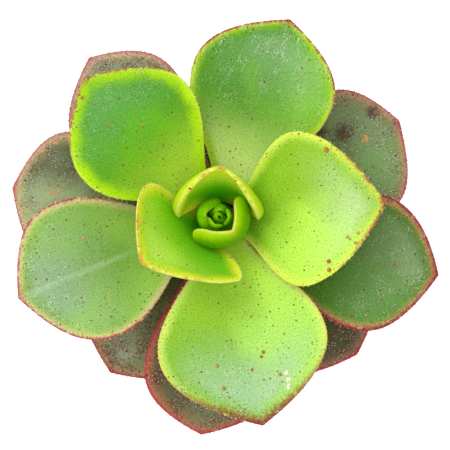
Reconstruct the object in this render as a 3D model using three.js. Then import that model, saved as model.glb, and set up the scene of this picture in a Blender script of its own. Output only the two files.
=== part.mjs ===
// A young tree aeonium in a clay pot: one open rosette of fleshy, cupped leaves on a short woody
// stem, planted in gritty soil. Everything is in millimetres. The origin is on the ground under the
// middle of the pot, +Z is up, +X is the photo's right and +Y is its top.

import * as THREE from 'three';

// Pot: a plain flower pot with a straight tapered wall, a collar round the rim and one drain hole.
const POT_HEIGHT = 84;
const POT_RIM_RADIUS = 47;
const POT_COLLAR_HEIGHT = 19;
const POT_COLLAR_STEP = 3;
const POT_FOOT_RADIUS = 31.5;
const POT_WALL = 4;
const POT_FLOOR = 6;
const DRAIN_HOLE_RADIUS = 6;
const POT_EDGE_ROUND = 1.2;
const POT_SIDES = 64;

// Soil and stem.
const SOIL_BELOW_RIM = 8;
const SOIL_MOUND = 3;
const STEM_SOIL_RADIUS = 8;
const STEM_LEAF_RADIUS = 5;
const STEM_TOP_RADIUS = 1.5;
const STEM_SUNK = 12;
const STEM_SIDES = 32;
const STEM_BARE_BELOW_LEAVES = 2;
const STEM_TIP_LENGTH = 9;
const STEM_TIP_ROUND = 1;
// The growing point stands this many leaf pitches above the lowest leaf.
const STEM_PITCHES = 14.5;

// What touches keeps this small gap, so that no two pieces share any space.
const TOUCH_GAP = 0.3;

// Leaves: the lowest one leaves the stem at LOWEST_LEAF and each younger one a little higher.
const STEM_AXIS = { x: -1.5, y: 4 };
const LOWEST_LEAF = 93;
const LEAF_PITCH = 1.6;
const LEAF_THICKNESS = 3.8;
const LEAF_THINNING = 0.35;
const LEAF_ABOVE_SHARE = 0.35;
const LEAF_STATIONS = 14;
const LEAF_COLUMNS = 9;
const MIDDLE_LINE_STEPS = 40;
const EDGE_DROP = 0.05;

// The ordinary leaf. A row of the list below states only where its leaf differs from this one.
//   heading    compass direction it grows in, in degrees anticlockwise from +X
//   length     along its middle line
//   halfWidth  from the middle line to the edge, along the cupped face, at the widest place
//   slope      steepness in degrees at the base, the middle and the tip
//   cup        angle in degrees through which each half curls up, at the base, the middle and the tip
//   neck       half-width at the base, as a share of halfWidth
//   left       the half anticlockwise of the middle line: its share of halfWidth, how far along the
//              leaf it is widest, and how bluntly it ends (2 is a parabola, more is blunter)
//   right      the same for the clockwise half
//   swing      degrees by which the heading turns from base to tip
//   roll       degrees by which the blade is turned about its middle line
//   start      distance from the stem's axis to the base
//   edgeThinning  the share of its thickness that the blade loses from the middle line to the edge
const ORDINARY = {
  slope: [25, 5, -10], cup: [40, 30, 10], neck: 0.3, left: [1, 0.62, 2.2], right: [1, 0.62, 2.2],
  swing: 0, roll: 0, start: 7, thickness: LEAF_THICKNESS, edgeThinning: 0.5, color: 0x6b8a3c,
};

const OLD_GREEN = 0x6a7a4e;
const FULL_GREEN = 0x5f9440;
const YOUNG_GREEN = 0x8cb62c;

// Every leaf from the oldest, at the bottom, to the youngest, in the heart of the rosette.
const LEAVES = [
  { name: 'old_leaf_1', heading: 235, length: 63, halfWidth: 25, slope: [20, 0, -15], color: OLD_GREEN },
  { name: 'old_leaf_2', heading: 96, length: 44, halfWidth: 17, slope: [20, 5, -10], color: OLD_GREEN },
  { name: 'old_leaf_3', heading: 315, length: 64, halfWidth: 24, slope: [22, 3, -12], color: OLD_GREEN,
    left: [1, 0.62, 3], right: [1, 0.62, 3] },
  { name: 'old_leaf_4', heading: 172, length: 69, halfWidth: 26.5, slope: [25, 5, -12], color: OLD_GREEN,
    left: [1, 0.62, 3], right: [0.88, 0.62, 3.2] },
  { name: 'old_leaf_5', heading: 28, length: 66.8, halfWidth: 26, slope: [25, 6, -10], color: OLD_GREEN,
    neck: 0.27, left: [0.84, 0.62, 3], right: [1.04, 0.62, 3.6] },
  { name: 'old_leaf_6', heading: 265.3, length: 72, halfWidth: 24, slope: [28, 8, -8], color: OLD_GREEN,
    neck: 0.25, left: [1.05, 0.66, 3], right: [0.92, 0.67, 2.5] },
  { name: 'old_leaf_7', heading: 129.4, length: 67, halfWidth: 24, slope: [28, 10, -8], color: OLD_GREEN,
    left: [1, 0.62, 2.4], right: [0.86, 0.64, 2.6] },
  { name: 'full_leaf_1', heading: 345, length: 74.5, halfWidth: 25, slope: [30, 12, -5], color: FULL_GREEN,
    left: [0.9, 0.62, 2.4], right: [1.05, 0.66, 2.5] },
  { name: 'full_leaf_2', heading: 202.2, length: 71, halfWidth: 25.5, slope: [32, 14, -2], color: FULL_GREEN,
    neck: 0.2, left: [1, 0.6, 2.4], right: [1.02, 0.64, 3] },
  { name: 'full_leaf_3', heading: 70.2, length: 68.5, halfWidth: 26.2, slope: [34, 18, 0], color: FULL_GREEN,
    neck: 0.23, left: [1.02, 0.64, 2.3], right: [0.93, 0.66, 2.2] },
  { name: 'full_leaf_4', heading: 281.8, length: 70.8, halfWidth: 28.5, slope: [38, 22, 0],
    color: YOUNG_GREEN, neck: 0.27, left: [1, 0.62, 1.9], right: [1.08, 0.6, 2] },
  { name: 'full_leaf_5', heading: 134.4, length: 64, halfWidth: 25, slope: [40, 24, 2], color: YOUNG_GREEN,
    neck: 0.2, left: [1, 0.6, 2.2], right: [0.97, 0.62, 1.9] },
  { name: 'full_leaf_6', heading: 4, length: 58.2, halfWidth: 26.5, slope: [55, 32, 0], color: YOUNG_GREEN,
    neck: 0.28, left: [1.04, 0.52, 1.8], right: [1, 0.52, 1.7] },
  { name: 'young_leaf_1', heading: 213.5, length: 40.2, halfWidth: 26, slope: [65, 54, 47],
    color: YOUNG_GREEN, cup: [50, 62, 35], neck: 0.31, left: [1.02, 0.44, 1.4],
    right: [0.92, 0.6, 2.4], swing: -8, roll: 8, start: 7.3 },
  { name: 'young_leaf_2', heading: 90, length: 30, halfWidth: 20.4, slope: [55, 95, 60], color: YOUNG_GREEN,
    cup: [64, 116, 40], neck: 0.4, left: [1, 0.36, 2.4], right: [1, 0.36, 2.4], swing: -8, start: 6.1,
    thickness: 3.6, edgeThinning: 0.2 },
  { name: 'bud_leaf_1', heading: 312, length: 25.5, halfWidth: 17.5, slope: [40, 98, 112], color: YOUNG_GREEN,
    cup: [46, 145, 90], neck: 0.36, left: [0.87, 0.45, 2], right: [0.98, 0.46, 2], start: 3.8,
    thickness: 3.9, edgeThinning: 0.2 },
  { name: 'bud_leaf_2', heading: 171, length: 16.5, halfWidth: 10, slope: [45, 98, 112], color: YOUNG_GREEN,
    cup: [70, 150, 90], neck: 0.5, left: [1, 0.44, 2.2], right: [0.9, 0.46, 2.2], start: 3.2,
    thickness: 2.7, edgeThinning: 0.2 },
  { name: 'bud_leaf_3', heading: 80, length: 12.5, halfWidth: 6.2, slope: [55, 95, 112], color: YOUNG_GREEN,
    cup: [80, 134, 90], neck: 0.45, left: [0.95, 0.5, 2.4], right: [0.58, 0.5, 2.4], start: 1.4,
    thickness: 1.7, edgeThinning: 0.2 },
  { name: 'bud_leaf_4', heading: 290, length: 9.5, halfWidth: 4, slope: [70, 98, 115], color: YOUNG_GREEN,
    cup: [70, 130, 80], neck: 0.5, left: [0.8, 0.5, 2.2], right: [1, 0.5, 2.2], start: 1.6,
    thickness: 1.5, edgeThinning: 0.2 },
];

const radians = (degrees) => (degrees * Math.PI) / 180;

// A value that starts at the first of three, leans towards the second and ends at the third.
function blend(three, t) {
  const s = 1 - t;
  return s * s * three[0] + 2 * s * t * three[1] + t * t * three[2];
}

// Half-width of one side of a leaf at t along it: it swells from the neck to the widest place and
// falls off to nothing at the tip.
function sideWidth(leaf, side, t) {
  const [share, widest, bluntness] = side;
  const neck = leaf.neck / share;
  const full = leaf.halfWidth * share;
  if (t < widest) {
    return full * (neck + (1 - neck) * Math.sin((Math.PI / 2) * (t / widest)) ** 2);
  }
  return full * (1 - ((t - widest) / (1 - widest)) ** bluntness);
}

// The middle line's place and directions at t: ahead along the leaf, left across it, and up out of
// its face. The place is summed in short steps from the base.
function middleLine(leaf, base, t) {
  const steps = MIDDLE_LINE_STEPS;
  const ahead = new THREE.Vector3();
  const at = base.clone();
  const direction = (share) => {
    const slope = radians(blend(leaf.slope, share));
    const turn = radians(leaf.heading + leaf.swing * share ** 1.5);
    return ahead.set(
      Math.cos(slope) * Math.cos(turn),
      Math.cos(slope) * Math.sin(turn),
      Math.sin(slope),
    );
  };
  for (let step = 0; step < steps; step += 1) {
    at.addScaledVector(direction((t * (step + 0.5)) / steps), (leaf.length * t) / steps);
  }
  direction(t);
  const turn = radians(leaf.heading + leaf.swing * t ** 1.5);
  const left = new THREE.Vector3(-Math.sin(turn), Math.cos(turn), 0);
  left.applyAxisAngle(ahead, radians(leaf.roll));
  const up = ahead.clone().cross(left);
  return { at, left, up };
}

// One closed leaf. Each station along it is a ring of points, out over the upper face from one edge
// to the other and back under the lower face. The two faces meet along the edges, a flat cap closes
// the base and the last ring runs into the tip.
function leafGeometry(leaf, base) {
  const points = [];
  const faces = [];
  const ringSize = 2 * (LEAF_COLUMNS - 1);
  for (let station = 0; station < LEAF_STATIONS; station += 1) {
    const t = Math.sin(((station / LEAF_STATIONS) * Math.PI) / 2);
    const { at, left, up } = middleLine(leaf, base, t);
    const curl = radians(blend(leaf.cup, t));
    const thick = leaf.thickness * (1 - LEAF_THINNING * t) * Math.sqrt(1 - t ** 16);
    const rim = [];
    const lower = [];
    for (let column = 0; column < LEAF_COLUMNS; column += 1) {
      const across = Math.sin(((2 * column) / (LEAF_COLUMNS - 1) - 1) * (Math.PI / 2));
      const width = sideWidth(leaf, across > 0 ? leaf.left : leaf.right, t);
      const angle = curl * across;
      const out = (width * Math.sin(angle)) / curl;
      const rise = (width * (1 - Math.cos(angle))) / curl - width * EDGE_DROP * Math.abs(across) ** 5;
      const normal = up.clone().multiplyScalar(Math.cos(angle)).addScaledVector(left, -Math.sin(angle));
      const middle = at.clone().addScaledVector(left, out).addScaledVector(up, rise);
      const lens = (1 - leaf.edgeThinning * across * across) * Math.sqrt(1 - Math.abs(across) ** 8);
      const depth = thick * lens;
      rim.push(middle.clone().addScaledVector(normal, depth * LEAF_ABOVE_SHARE));
      lower.push(middle.addScaledVector(normal, depth * (LEAF_ABOVE_SHARE - 1)));
    }
    points.push(...rim, ...lower.slice(1, -1).reverse());
  }
  const tip = points.length;
  points.push(middleLine(leaf, base, 1).at);
  for (let station = 0; station + 1 < LEAF_STATIONS; station += 1) {
    for (let k = 0; k < ringSize; k += 1) {
      const a = station * ringSize + k;
      const b = station * ringSize + ((k + 1) % ringSize);
      faces.push(a, a + ringSize, b, b, a + ringSize, b + ringSize);
    }
  }
  const last = (LEAF_STATIONS - 1) * ringSize;
  for (let k = 0; k < ringSize; k += 1) {
    faces.push(last + k, tip, last + ((k + 1) % ringSize));
  }
  for (let column = 0; column + 1 < LEAF_COLUMNS; column += 1) {
    const back = (ringSize - column) % ringSize;
    const nextBack = ringSize - column - 1;
    if (back !== column) {
      faces.push(column, column + 1, back);
    }
    if (nextBack !== column + 1) {
      faces.push(column + 1, nextBack, back);
    }
  }
  return closedGeometry(points, faces);
}

// A geometry from a list of points and a flat list of corner numbers, three to a face.
function closedGeometry(points, faces) {
  const geometry = new THREE.BufferGeometry();
  const positions = points.flatMap((point) => [point.x, point.y, point.z]);
  geometry.setAttribute('position', new THREE.Float32BufferAttribute(positions, 3));
  geometry.setIndex(faces);
  geometry.computeVertexNormals();
  return geometry;
}

// A body of revolution about +Z from [radius, height] corners.
function turned(corners, sides) {
  const geometry = new THREE.LatheGeometry(corners.map(([r, z]) => new THREE.Vector2(r, z)), sides);
  geometry.rotateX(Math.PI / 2);
  return geometry;
}

// A sub-part: a mesh with a name and a plain material.
function piece(name, geometry, color, roughness) {
  const material = new THREE.MeshStandardMaterial({ color, roughness, metalness: 0 });
  const mesh = new THREE.Mesh(geometry, material);
  mesh.name = name;
  return mesh;
}

// Outside radius of the pot's tapered wall at a height, below the collar.
const collarBottom = POT_HEIGHT - POT_COLLAR_HEIGHT;
const wallRadius = (z) => {
  const top = POT_RIM_RADIUS - POT_COLLAR_STEP;
  return POT_FOOT_RADIUS + ((top - POT_FOOT_RADIUS) * z) / POT_HEIGHT;
};
const boreRadius = (z) => wallRadius(z) - POT_WALL;

// Half of the pot's section, turned about its middle, with a small bevel on every outer edge.
function potGeometry() {
  const e = POT_EDGE_ROUND;
  return turned([
    [DRAIN_HOLE_RADIUS, 0],
    [POT_FOOT_RADIUS - e, 0],
    [wallRadius(e), e],
    [wallRadius(collarBottom), collarBottom],
    [POT_RIM_RADIUS - e, collarBottom],
    [POT_RIM_RADIUS, collarBottom + e],
    [POT_RIM_RADIUS, POT_HEIGHT - e],
    [POT_RIM_RADIUS - e, POT_HEIGHT],
    [boreRadius(POT_HEIGHT) + e, POT_HEIGHT],
    [boreRadius(POT_HEIGHT), POT_HEIGHT - e],
    [boreRadius(POT_FLOOR), POT_FLOOR],
    [DRAIN_HOLE_RADIUS, POT_FLOOR],
    [DRAIN_HOLE_RADIUS, 0],
  ], POT_SIDES);
}

// Heights of the soil's edge and middle, and of the stem's foot, its last bare place and its top.
const soilEdge = POT_HEIGHT - SOIL_BELOW_RIM;
const soilTop = soilEdge + SOIL_MOUND;
const stemFoot = soilTop - STEM_SUNK;
const stemTop = LOWEST_LEAF + LEAF_PITCH * STEM_PITCHES;
const stemBareTop = LOWEST_LEAF - STEM_BARE_BELOW_LEAVES;

// The soil fills the pot's bore up to a low mound, with a socket in which the stem stands.
function soilGeometry() {
  const middleRise = SOIL_MOUND * 0.7;
  const bottom = POT_FLOOR + TOUCH_GAP;
  const socket = STEM_SOIL_RADIUS + TOUCH_GAP;
  return turned([
    [0, bottom],
    [boreRadius(bottom) - TOUCH_GAP, bottom],
    [boreRadius(soilEdge) - TOUCH_GAP, soilEdge],
    [(boreRadius(soilEdge) + socket) / 2, soilEdge + middleRise],
    [socket, soilTop],
    [socket, stemFoot - TOUCH_GAP],
    [0, stemFoot - TOUCH_GAP],
  ], POT_SIDES);
}

// The stem stands in the middle of the soil and leans over to the middle of the rosette.
function stemGeometry() {
  const geometry = turned([
    [0, stemFoot],
    [STEM_SOIL_RADIUS, stemFoot],
    [STEM_SOIL_RADIUS, soilTop],
    [STEM_LEAF_RADIUS, stemBareTop],
    [STEM_LEAF_RADIUS, stemTop - STEM_TIP_LENGTH],
    [STEM_TOP_RADIUS, stemTop - STEM_TIP_ROUND],
    [0, stemTop],
  ], STEM_SIDES);
  const place = geometry.getAttribute('position');
  for (let k = 0; k < place.count; k += 1) {
    const lean = THREE.MathUtils.smoothstep(place.getZ(k), soilTop, stemBareTop);
    place.setX(k, place.getX(k) + STEM_AXIS.x * lean);
    place.setY(k, place.getY(k) + STEM_AXIS.y * lean);
  }
  return geometry;
}

const plant = new THREE.Group();
plant.name = 'potted_aeonium';
plant.add(piece('pot', potGeometry(), 0xb5683f, 0.85));
plant.add(piece('soil', soilGeometry(), 0x3a2c22, 1));
plant.add(piece('stem', stemGeometry(), 0x7a6a4c, 0.9));

LEAVES.forEach((row, index) => {
  const leaf = { ...ORDINARY, ...row };
  const turn = radians(leaf.heading);
  const base = new THREE.Vector3(
    STEM_AXIS.x + leaf.start * Math.cos(turn),
    STEM_AXIS.y + leaf.start * Math.sin(turn),
    LOWEST_LEAF + LEAF_PITCH * index,
  );
  plant.add(piece(leaf.name, leafGeometry(leaf, base), leaf.color, 0.5));
});

export default plant;
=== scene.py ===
# %% [markdown]
# A potted tree aeonium. The plant is one open rosette: fleshy, cupped leaves on a short stem, each
# turned about 139 degrees round from the one before it, so that every leaf gets its share of light.
# The youngest stand tight in the heart, and the oldest spread out flat and reddish underneath. The
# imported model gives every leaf, the stem, the soil and the pot their place and size. This lesson
# gives them their real surface.

import bpy
import numpy as np
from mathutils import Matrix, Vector


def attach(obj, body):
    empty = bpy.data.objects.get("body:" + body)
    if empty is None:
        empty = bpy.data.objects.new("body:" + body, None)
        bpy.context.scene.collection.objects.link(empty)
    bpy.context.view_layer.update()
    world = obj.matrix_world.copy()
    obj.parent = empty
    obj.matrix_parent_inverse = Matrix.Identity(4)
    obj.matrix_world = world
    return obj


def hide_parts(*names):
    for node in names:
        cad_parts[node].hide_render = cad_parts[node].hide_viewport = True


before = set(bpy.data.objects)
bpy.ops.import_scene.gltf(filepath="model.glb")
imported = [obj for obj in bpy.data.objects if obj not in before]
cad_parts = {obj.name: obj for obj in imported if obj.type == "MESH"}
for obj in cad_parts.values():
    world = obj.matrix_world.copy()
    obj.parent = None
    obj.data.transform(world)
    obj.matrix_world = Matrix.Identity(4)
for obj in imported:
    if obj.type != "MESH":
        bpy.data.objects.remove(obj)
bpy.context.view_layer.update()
scene = bpy.context.scene

# %% [markdown]
# Blender works in metres and this plant is best thought of in millimetres, so lengths are written in
# millimetres and multiplied by MM. Colours are written as the hex values a paint program shows, and
# one function turns them into the linear values that light is worked out with. Another adds a shader
# node, since every material below is a chain of nodes.

# %% Units and colours
MM = 0.001


def linear(hex_colour, alpha=1.0):
    """A hex colour such as "8CB62C" as linear red, green, blue and alpha."""
    values = np.array([int(hex_colour[k:k + 2], 16) for k in (0, 2, 4)]) / 255
    curved = np.where(values <= 0.04045, values / 12.92, ((values + 0.055) / 1.055) ** 2.4)
    return (*[float(v) for v in curved], alpha)


def node(tree, kind, inputs=(), out=0, **settings):
    """Adds one shader node, sets it up and returns one of its outputs.

    inputs maps a socket's name or number to a plain value, or to another node's output to link.
    """
    new = tree.nodes.new("ShaderNode" + kind)
    for key, value in settings.items():
        setattr(new, key, value)
    for key, value in dict(inputs).items():
        if isinstance(value, bpy.types.NodeSocket):
            tree.links.new(value, new.inputs[key])
        else:
            new.inputs[key].default_value = value
    return new.outputs[out] if new.outputs else None


def blank_material(name):
    """A new material with an empty node tree, and that tree."""
    made = bpy.data.materials.new(name)
    made.use_nodes = True
    made.node_tree.nodes.clear()
    return made, made.node_tree


def smooth(value, low, high):
    """0 below low, 1 above high and a soft S-curve between them."""
    share = np.clip((value - low) / (high - low), 0, 1)
    return share * share * (3 - 2 * share)


print("pale rim yellow in linear light:", [round(v, 3) for v in linear("F4F59A")[:3]])

# %% [markdown]
# The photograph looks straight down into the rosette. A camera made in Blender already looks down its
# own -Z with +Y up, so it needs no turning, only its place, here 650 mm above the ground. The lens
# follows from the photograph: at the height of the leaves one picture point is 0.354 mm.

# %% Camera
CAMERA_HEIGHT = 650
LEAF_HEIGHT = 108
MM_PER_POINT = 0.354
PICTURE_POINTS = 450
SENSOR_WIDTH = 36

camera_data = bpy.data.cameras.new("view_from_above")
camera_data.sensor_width = SENSOR_WIDTH
camera_data.lens = SENSOR_WIDTH * (CAMERA_HEIGHT - LEAF_HEIGHT) / (MM_PER_POINT * PICTURE_POINTS)
camera = bpy.data.objects.new("view_from_above", camera_data)
camera.location = (0.5 * MM, 1.0 * MM, CAMERA_HEIGHT * MM)
scene.collection.objects.link(camera)
scene.camera = camera
print("lens:", round(camera_data.lens, 1), "mm")

# %% [markdown]
# Every leaf has the same plan and its own measures. This list repeats the measures that the packed
# model was built from, because a finer leaf must fill exactly the same place as the plain one it
# stands for. The rows run from the oldest leaf at the bottom to the youngest in the heart.

# %% Leaf measures
# The stem's top in x and y, the height of the lowest leaf's base and the rise to each next base, in mm.
STEM_AXIS = np.array([-1.5, 4.0])
LOWEST_LEAF = 93
LEAF_PITCH = 1.6
# Shares of the thickness: what is lost by the tip, and what lies above the blade's middle surface.
LEAF_THINNING = 0.35
LEAF_ABOVE_SHARE = 0.35
# Shares of the half-width: how far the very edge drops, and where a lip begins.
EDGE_DROP = 0.05
LIP_FROM = 0.5
# Height and length of the soft waves in the blade and in its edge, and the middle crease's width, in mm.
DENT = 0.3
DENT_LENGTH = 22
RIPPLE = 0.3
RIPPLE_LENGTH = 9
CREASE_WIDTH = 1.6

# What a row doesn't say is as in ORDINARY. heading, swing, slope, cup and roll are in degrees; length,
# half_width, thickness, crease and start, the base's distance from the stem's axis, are in mm; lip,
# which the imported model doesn't have, is a share of the thickness; left and right are (share of
# half_width, widest place, bluntness of the tip).
ORDINARY = dict(
    slope=(25, 5, -10), cup=(40, 30, 10), neck=0.3, left=(1, 0.62, 2.2), right=(1, 0.62, 2.2),
    swing=0, roll=0, start=7, thickness=3.8, edge_thinning=0.5, crease=0.12, lip=0,
)


def leaf(name, heading, length, half_width, slope, **others):
    """One row of the list: a name and everything that shapes that leaf."""
    row = dict(ORDINARY, name=name, heading=heading, length=length, half_width=half_width, slope=slope)
    row.update(others)
    return row


LEAVES = [
    leaf("old_leaf_1", 235, 63, 25, (20, 0, -15)),
    leaf("old_leaf_2", 96, 44, 17, (20, 5, -10)),
    leaf("old_leaf_3", 315, 64, 24, (22, 3, -12), left=(1, 0.62, 3), right=(1, 0.62, 3)),
    leaf("old_leaf_4", 172, 69, 26.5, (25, 5, -12), left=(1, 0.62, 3), right=(0.88, 0.62, 3.2)),
    leaf("old_leaf_5", 28, 66.8, 26, (25, 6, -10), neck=0.27,
         left=(0.84, 0.62, 3), right=(1.04, 0.62, 3.6)),
    leaf("old_leaf_6", 265.3, 72, 24, (28, 8, -8), neck=0.25,
         left=(1.05, 0.66, 3), right=(0.92, 0.67, 2.5)),
    leaf("old_leaf_7", 129.4, 67, 24, (28, 10, -8), left=(1, 0.62, 2.4), right=(0.86, 0.64, 2.6)),
    leaf("full_leaf_1", 345, 74.5, 25, (30, 12, -5), left=(0.9, 0.62, 2.4), right=(1.05, 0.66, 2.5)),
    leaf("full_leaf_2", 202.2, 71, 25.5, (32, 14, -2), neck=0.2,
         left=(1, 0.6, 2.4), right=(1.02, 0.64, 3)),
    leaf("full_leaf_3", 70.2, 68.5, 26.2, (34, 18, 0), neck=0.23,
         left=(1.02, 0.64, 2.3), right=(0.93, 0.66, 2.2)),
    leaf("full_leaf_4", 281.8, 70.8, 28.5, (38, 22, 0), neck=0.27,
         left=(1, 0.62, 1.9), right=(1.08, 0.6, 2)),
    leaf("full_leaf_5", 134.4, 64, 25, (40, 24, 2), neck=0.2,
         left=(1, 0.6, 2.2), right=(0.97, 0.62, 1.9)),
    leaf("full_leaf_6", 4, 58.2, 26.5, (55, 32, 0), neck=0.28,
         left=(1.04, 0.52, 1.8), right=(1, 0.52, 1.7)),
    leaf("young_leaf_1", 213.5, 40.2, 26, (65, 54, 47), cup=(50, 62, 35), neck=0.31,
         left=(1.02, 0.44, 1.4), right=(0.92, 0.6, 2.4), swing=-8, roll=8, start=7.3),
    leaf("young_leaf_2", 90, 30, 20.4, (55, 95, 60), cup=(64, 116, 40), neck=0.4,
         left=(1, 0.36, 2.4), right=(1, 0.36, 2.4), swing=-8, start=6.1,
         thickness=3.6, edge_thinning=0.2, lip=0.8),
    leaf("bud_leaf_1", 312, 25.5, 17.5, (40, 98, 112), cup=(46, 145, 90), neck=0.36,
         left=(0.87, 0.45, 2), right=(0.98, 0.46, 2), start=3.8,
         thickness=3.9, edge_thinning=0.2, lip=0.4),
    leaf("bud_leaf_2", 171, 16.5, 10, (45, 98, 112), cup=(70, 150, 90), neck=0.5,
         left=(1, 0.44, 2.2), right=(0.9, 0.46, 2.2), start=3.2,
         thickness=2.7, edge_thinning=0.2, lip=0.35),
    leaf("bud_leaf_3", 80, 12.5, 6.2, (55, 95, 112), cup=(80, 134, 90), neck=0.45,
         left=(0.95, 0.5, 2.4), right=(0.58, 0.5, 2.4), start=1.4,
         thickness=1.7, edge_thinning=0.2),
    leaf("bud_leaf_4", 290, 9.5, 4, (70, 98, 115), cup=(70, 130, 80), neck=0.5,
         left=(0.8, 0.5, 2.2), right=(1, 0.5, 2.2), start=1.6,
         thickness=1.5, edge_thinning=0.2),
]
print(len(LEAVES), "leaves, the longest", max(row["length"] for row in LEAVES), "mm")

# %% [markdown]
# A leaf blade could be modelled by hand, or as a plane bent by modifiers. Here it is a surface worked
# out from two numbers: t runs from the base to the tip and v from one edge to the other. That keeps
# the blade exactly on its measures, and lets the same two numbers drive its colours later.

# %% The leaf's surface
MIDDLE_STEPS = 400


def blend(three, t):
    """Starts at the first value, leans towards the second and ends at the third."""
    return (1 - t) ** 2 * three[0] + 2 * t * (1 - t) * three[1] + t * t * three[2]


def side_width(row, side, t):
    """Half-width of one side: it swells from the neck as a squared sine, then falls as 1 - x^bluntness."""
    share, widest, bluntness = side
    neck = row["neck"] / share
    swelling = neck + (1 - neck) * np.sin(np.pi / 2 * np.clip(t / widest, 0, 1)) ** 2
    falling = 1 - np.clip((t - widest) / (1 - widest), 0, 1) ** bluntness
    return row["half_width"] * share * np.where(t < widest, swelling, falling)


def middle_line(row, base, t):
    """Places and directions along the middle of a leaf at the values t.

    Short steps in the direction (cos slope cos turn, cos slope sin turn, sin slope) are summed from
    the base. left is level and square to the heading, up is square to both, and roll turns them.
    """
    fine = np.linspace(0, 1, MIDDLE_STEPS + 1)
    slope = np.radians(blend(row["slope"], fine))
    turn = np.radians(row["heading"] + row["swing"] * fine ** 1.5)
    ahead = np.stack([np.cos(slope) * np.cos(turn), np.cos(slope) * np.sin(turn), np.sin(slope)], -1)
    steps = (ahead[1:] + ahead[:-1]) / 2 * row["length"] / MIDDLE_STEPS
    places = base + np.vstack([np.zeros(3), np.cumsum(steps, axis=0)])
    at = np.stack([np.interp(t, fine, places[:, k]) for k in range(3)], -1)
    ahead = np.stack([np.interp(t, fine, ahead[:, k]) for k in range(3)], -1)
    turn = np.interp(t, fine, turn)
    left = np.stack([-np.sin(turn), np.cos(turn), 0 * turn], -1)
    up = np.cross(ahead, left)
    roll = np.radians(row["roll"])
    return at, left * np.cos(roll) + up * np.sin(roll), up * np.cos(roll) - left * np.sin(roll)


def waves(x, y, size, seed):
    """Smooth seeded lumps: five crossing sine waves about size mm long, averaged."""
    draw = np.random.default_rng(seed)
    total = np.zeros(np.shape(x))
    for _ in range(5):
        angle, stretch, phase = draw.uniform((0, 0.7, 0), (2 * np.pi, 1.4, 2 * np.pi))
        total = total + np.sin((x * np.cos(angle) + y * np.sin(angle)) * 2 * np.pi * stretch / size + phase)
    return total / 5


def leaf_points(row, base, t, v):
    """Points of the upper and the lower face of a leaf for the arrays t and v, in mm.

    Across the blade each half curls up along an arc of the cup's angle, and drops a little at the
    very edge. The flesh is a lens: thick in the middle, rounded off at the edges, thinner at the tip.
    Leaves of the heart swell again into a lip from LIP_FROM of the half-width outwards, less at
    the tip and not at all at the base, where the next leaf lies close.
    The blade is never quite even, so waves lift and sink it by up to DENT, and its edge by RIPPLE.
    """
    at, left, up = middle_line(row, base, t)
    width = np.where(v > 0, side_width(row, row["left"], t), side_width(row, row["right"], t))
    curl = np.radians(blend(row["cup"], t))
    angle = curl * v
    out = width * np.sin(angle) / curl
    rise = width * (1 - np.cos(angle)) / curl - width * EDGE_DROP * np.abs(v) ** 5
    normal = up * np.cos(angle)[..., None] - left * np.sin(angle)[..., None]
    uneven = DENT * waves(v * width, t * row["length"], DENT_LENGTH, int(row["heading"]))
    edge_waves = waves(v, t * row["length"], RIPPLE_LENGTH, int(row["length"]))
    uneven = uneven + RIPPLE * np.abs(v) ** 3 * edge_waves
    crease = -row["crease"] * np.exp(-(v * width / CREASE_WIDTH) ** 2)
    lift = (uneven + crease) * smooth(t, 0.15, 0.5) * smooth(1 - t, 0, 0.15)
    middle = at + left * out[..., None] + up * rise[..., None] + normal * lift[..., None]
    lip = row["lip"] * smooth(np.abs(v), LIP_FROM, 1) * smooth(t, 0.2, 0.5) * smooth(1 - t, 0, 0.3)
    lens = (1 - row["edge_thinning"] * v * v + lip) * np.sqrt(1 - np.abs(v) ** 8)
    depth = row["thickness"] * (1 - LEAF_THINNING * t) * np.sqrt(1 - t ** 16) * lens
    upper = middle + normal * (depth * LEAF_ABOVE_SHARE)[..., None]
    lower = middle - normal * (depth * (1 - LEAF_ABOVE_SHARE))[..., None]
    return upper, lower, width


def base_of(index, row):
    """Where a leaf starts: at its own distance from the stem's axis, each one a step above the last."""
    turn = np.radians(row["heading"])
    x, y = STEM_AXIS + row["start"] * np.array([np.cos(turn), np.sin(turn)])
    return np.array([x, y, LOWEST_LEAF + LEAF_PITCH * index])


tips = [middle_line(row, base_of(k, row), np.array([1.0]))[0][0] for k, row in enumerate(LEAVES)]
print("highest tip at", round(max(tip[2] for tip in tips), 1), "mm")

# %% [markdown]
# A mesh is points, faces and whatever is stored on them. The leaf's rings of points go out over the
# upper face and back under the lower one, so the blade is closed all round. Stored with each point
# are the facts its skin needs: how far it is from the edge, how far along and across, and whether it
# is underneath.

# %% Mesh from arrays
def mesh_object(name, points, faces, facts=(), slots=None):
    """A smooth-shaded mesh object at the origin from points in mm, faces, and facts per point."""
    mesh = bpy.data.meshes.new(name)
    mesh.from_pydata((np.asarray(points) * MM).tolist(), [], [list(map(int, face)) for face in faces])
    mesh.polygons.foreach_set("use_smooth", np.ones(len(mesh.polygons), bool))
    if slots is not None:
        mesh.polygons.foreach_set("material_index", slots)
    for key, values in dict(facts).items():
        mesh.attributes.new(key, "FLOAT", "POINT").data.foreach_set("value", values.astype(np.float32))
    mesh.update()
    made = bpy.data.objects.new(name, mesh)
    scene.collection.objects.link(made)
    return made


def ring_faces(rings, size):
    """Quads between neighbouring rings of size points each."""
    i, k = np.meshgrid(np.arange(rings - 1), np.arange(size), indexing="ij")
    here = i * size + k
    beside = i * size + (k + 1) % size
    return np.stack([here, here + size, beside + size, beside], -1).reshape(-1, 4)


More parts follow.
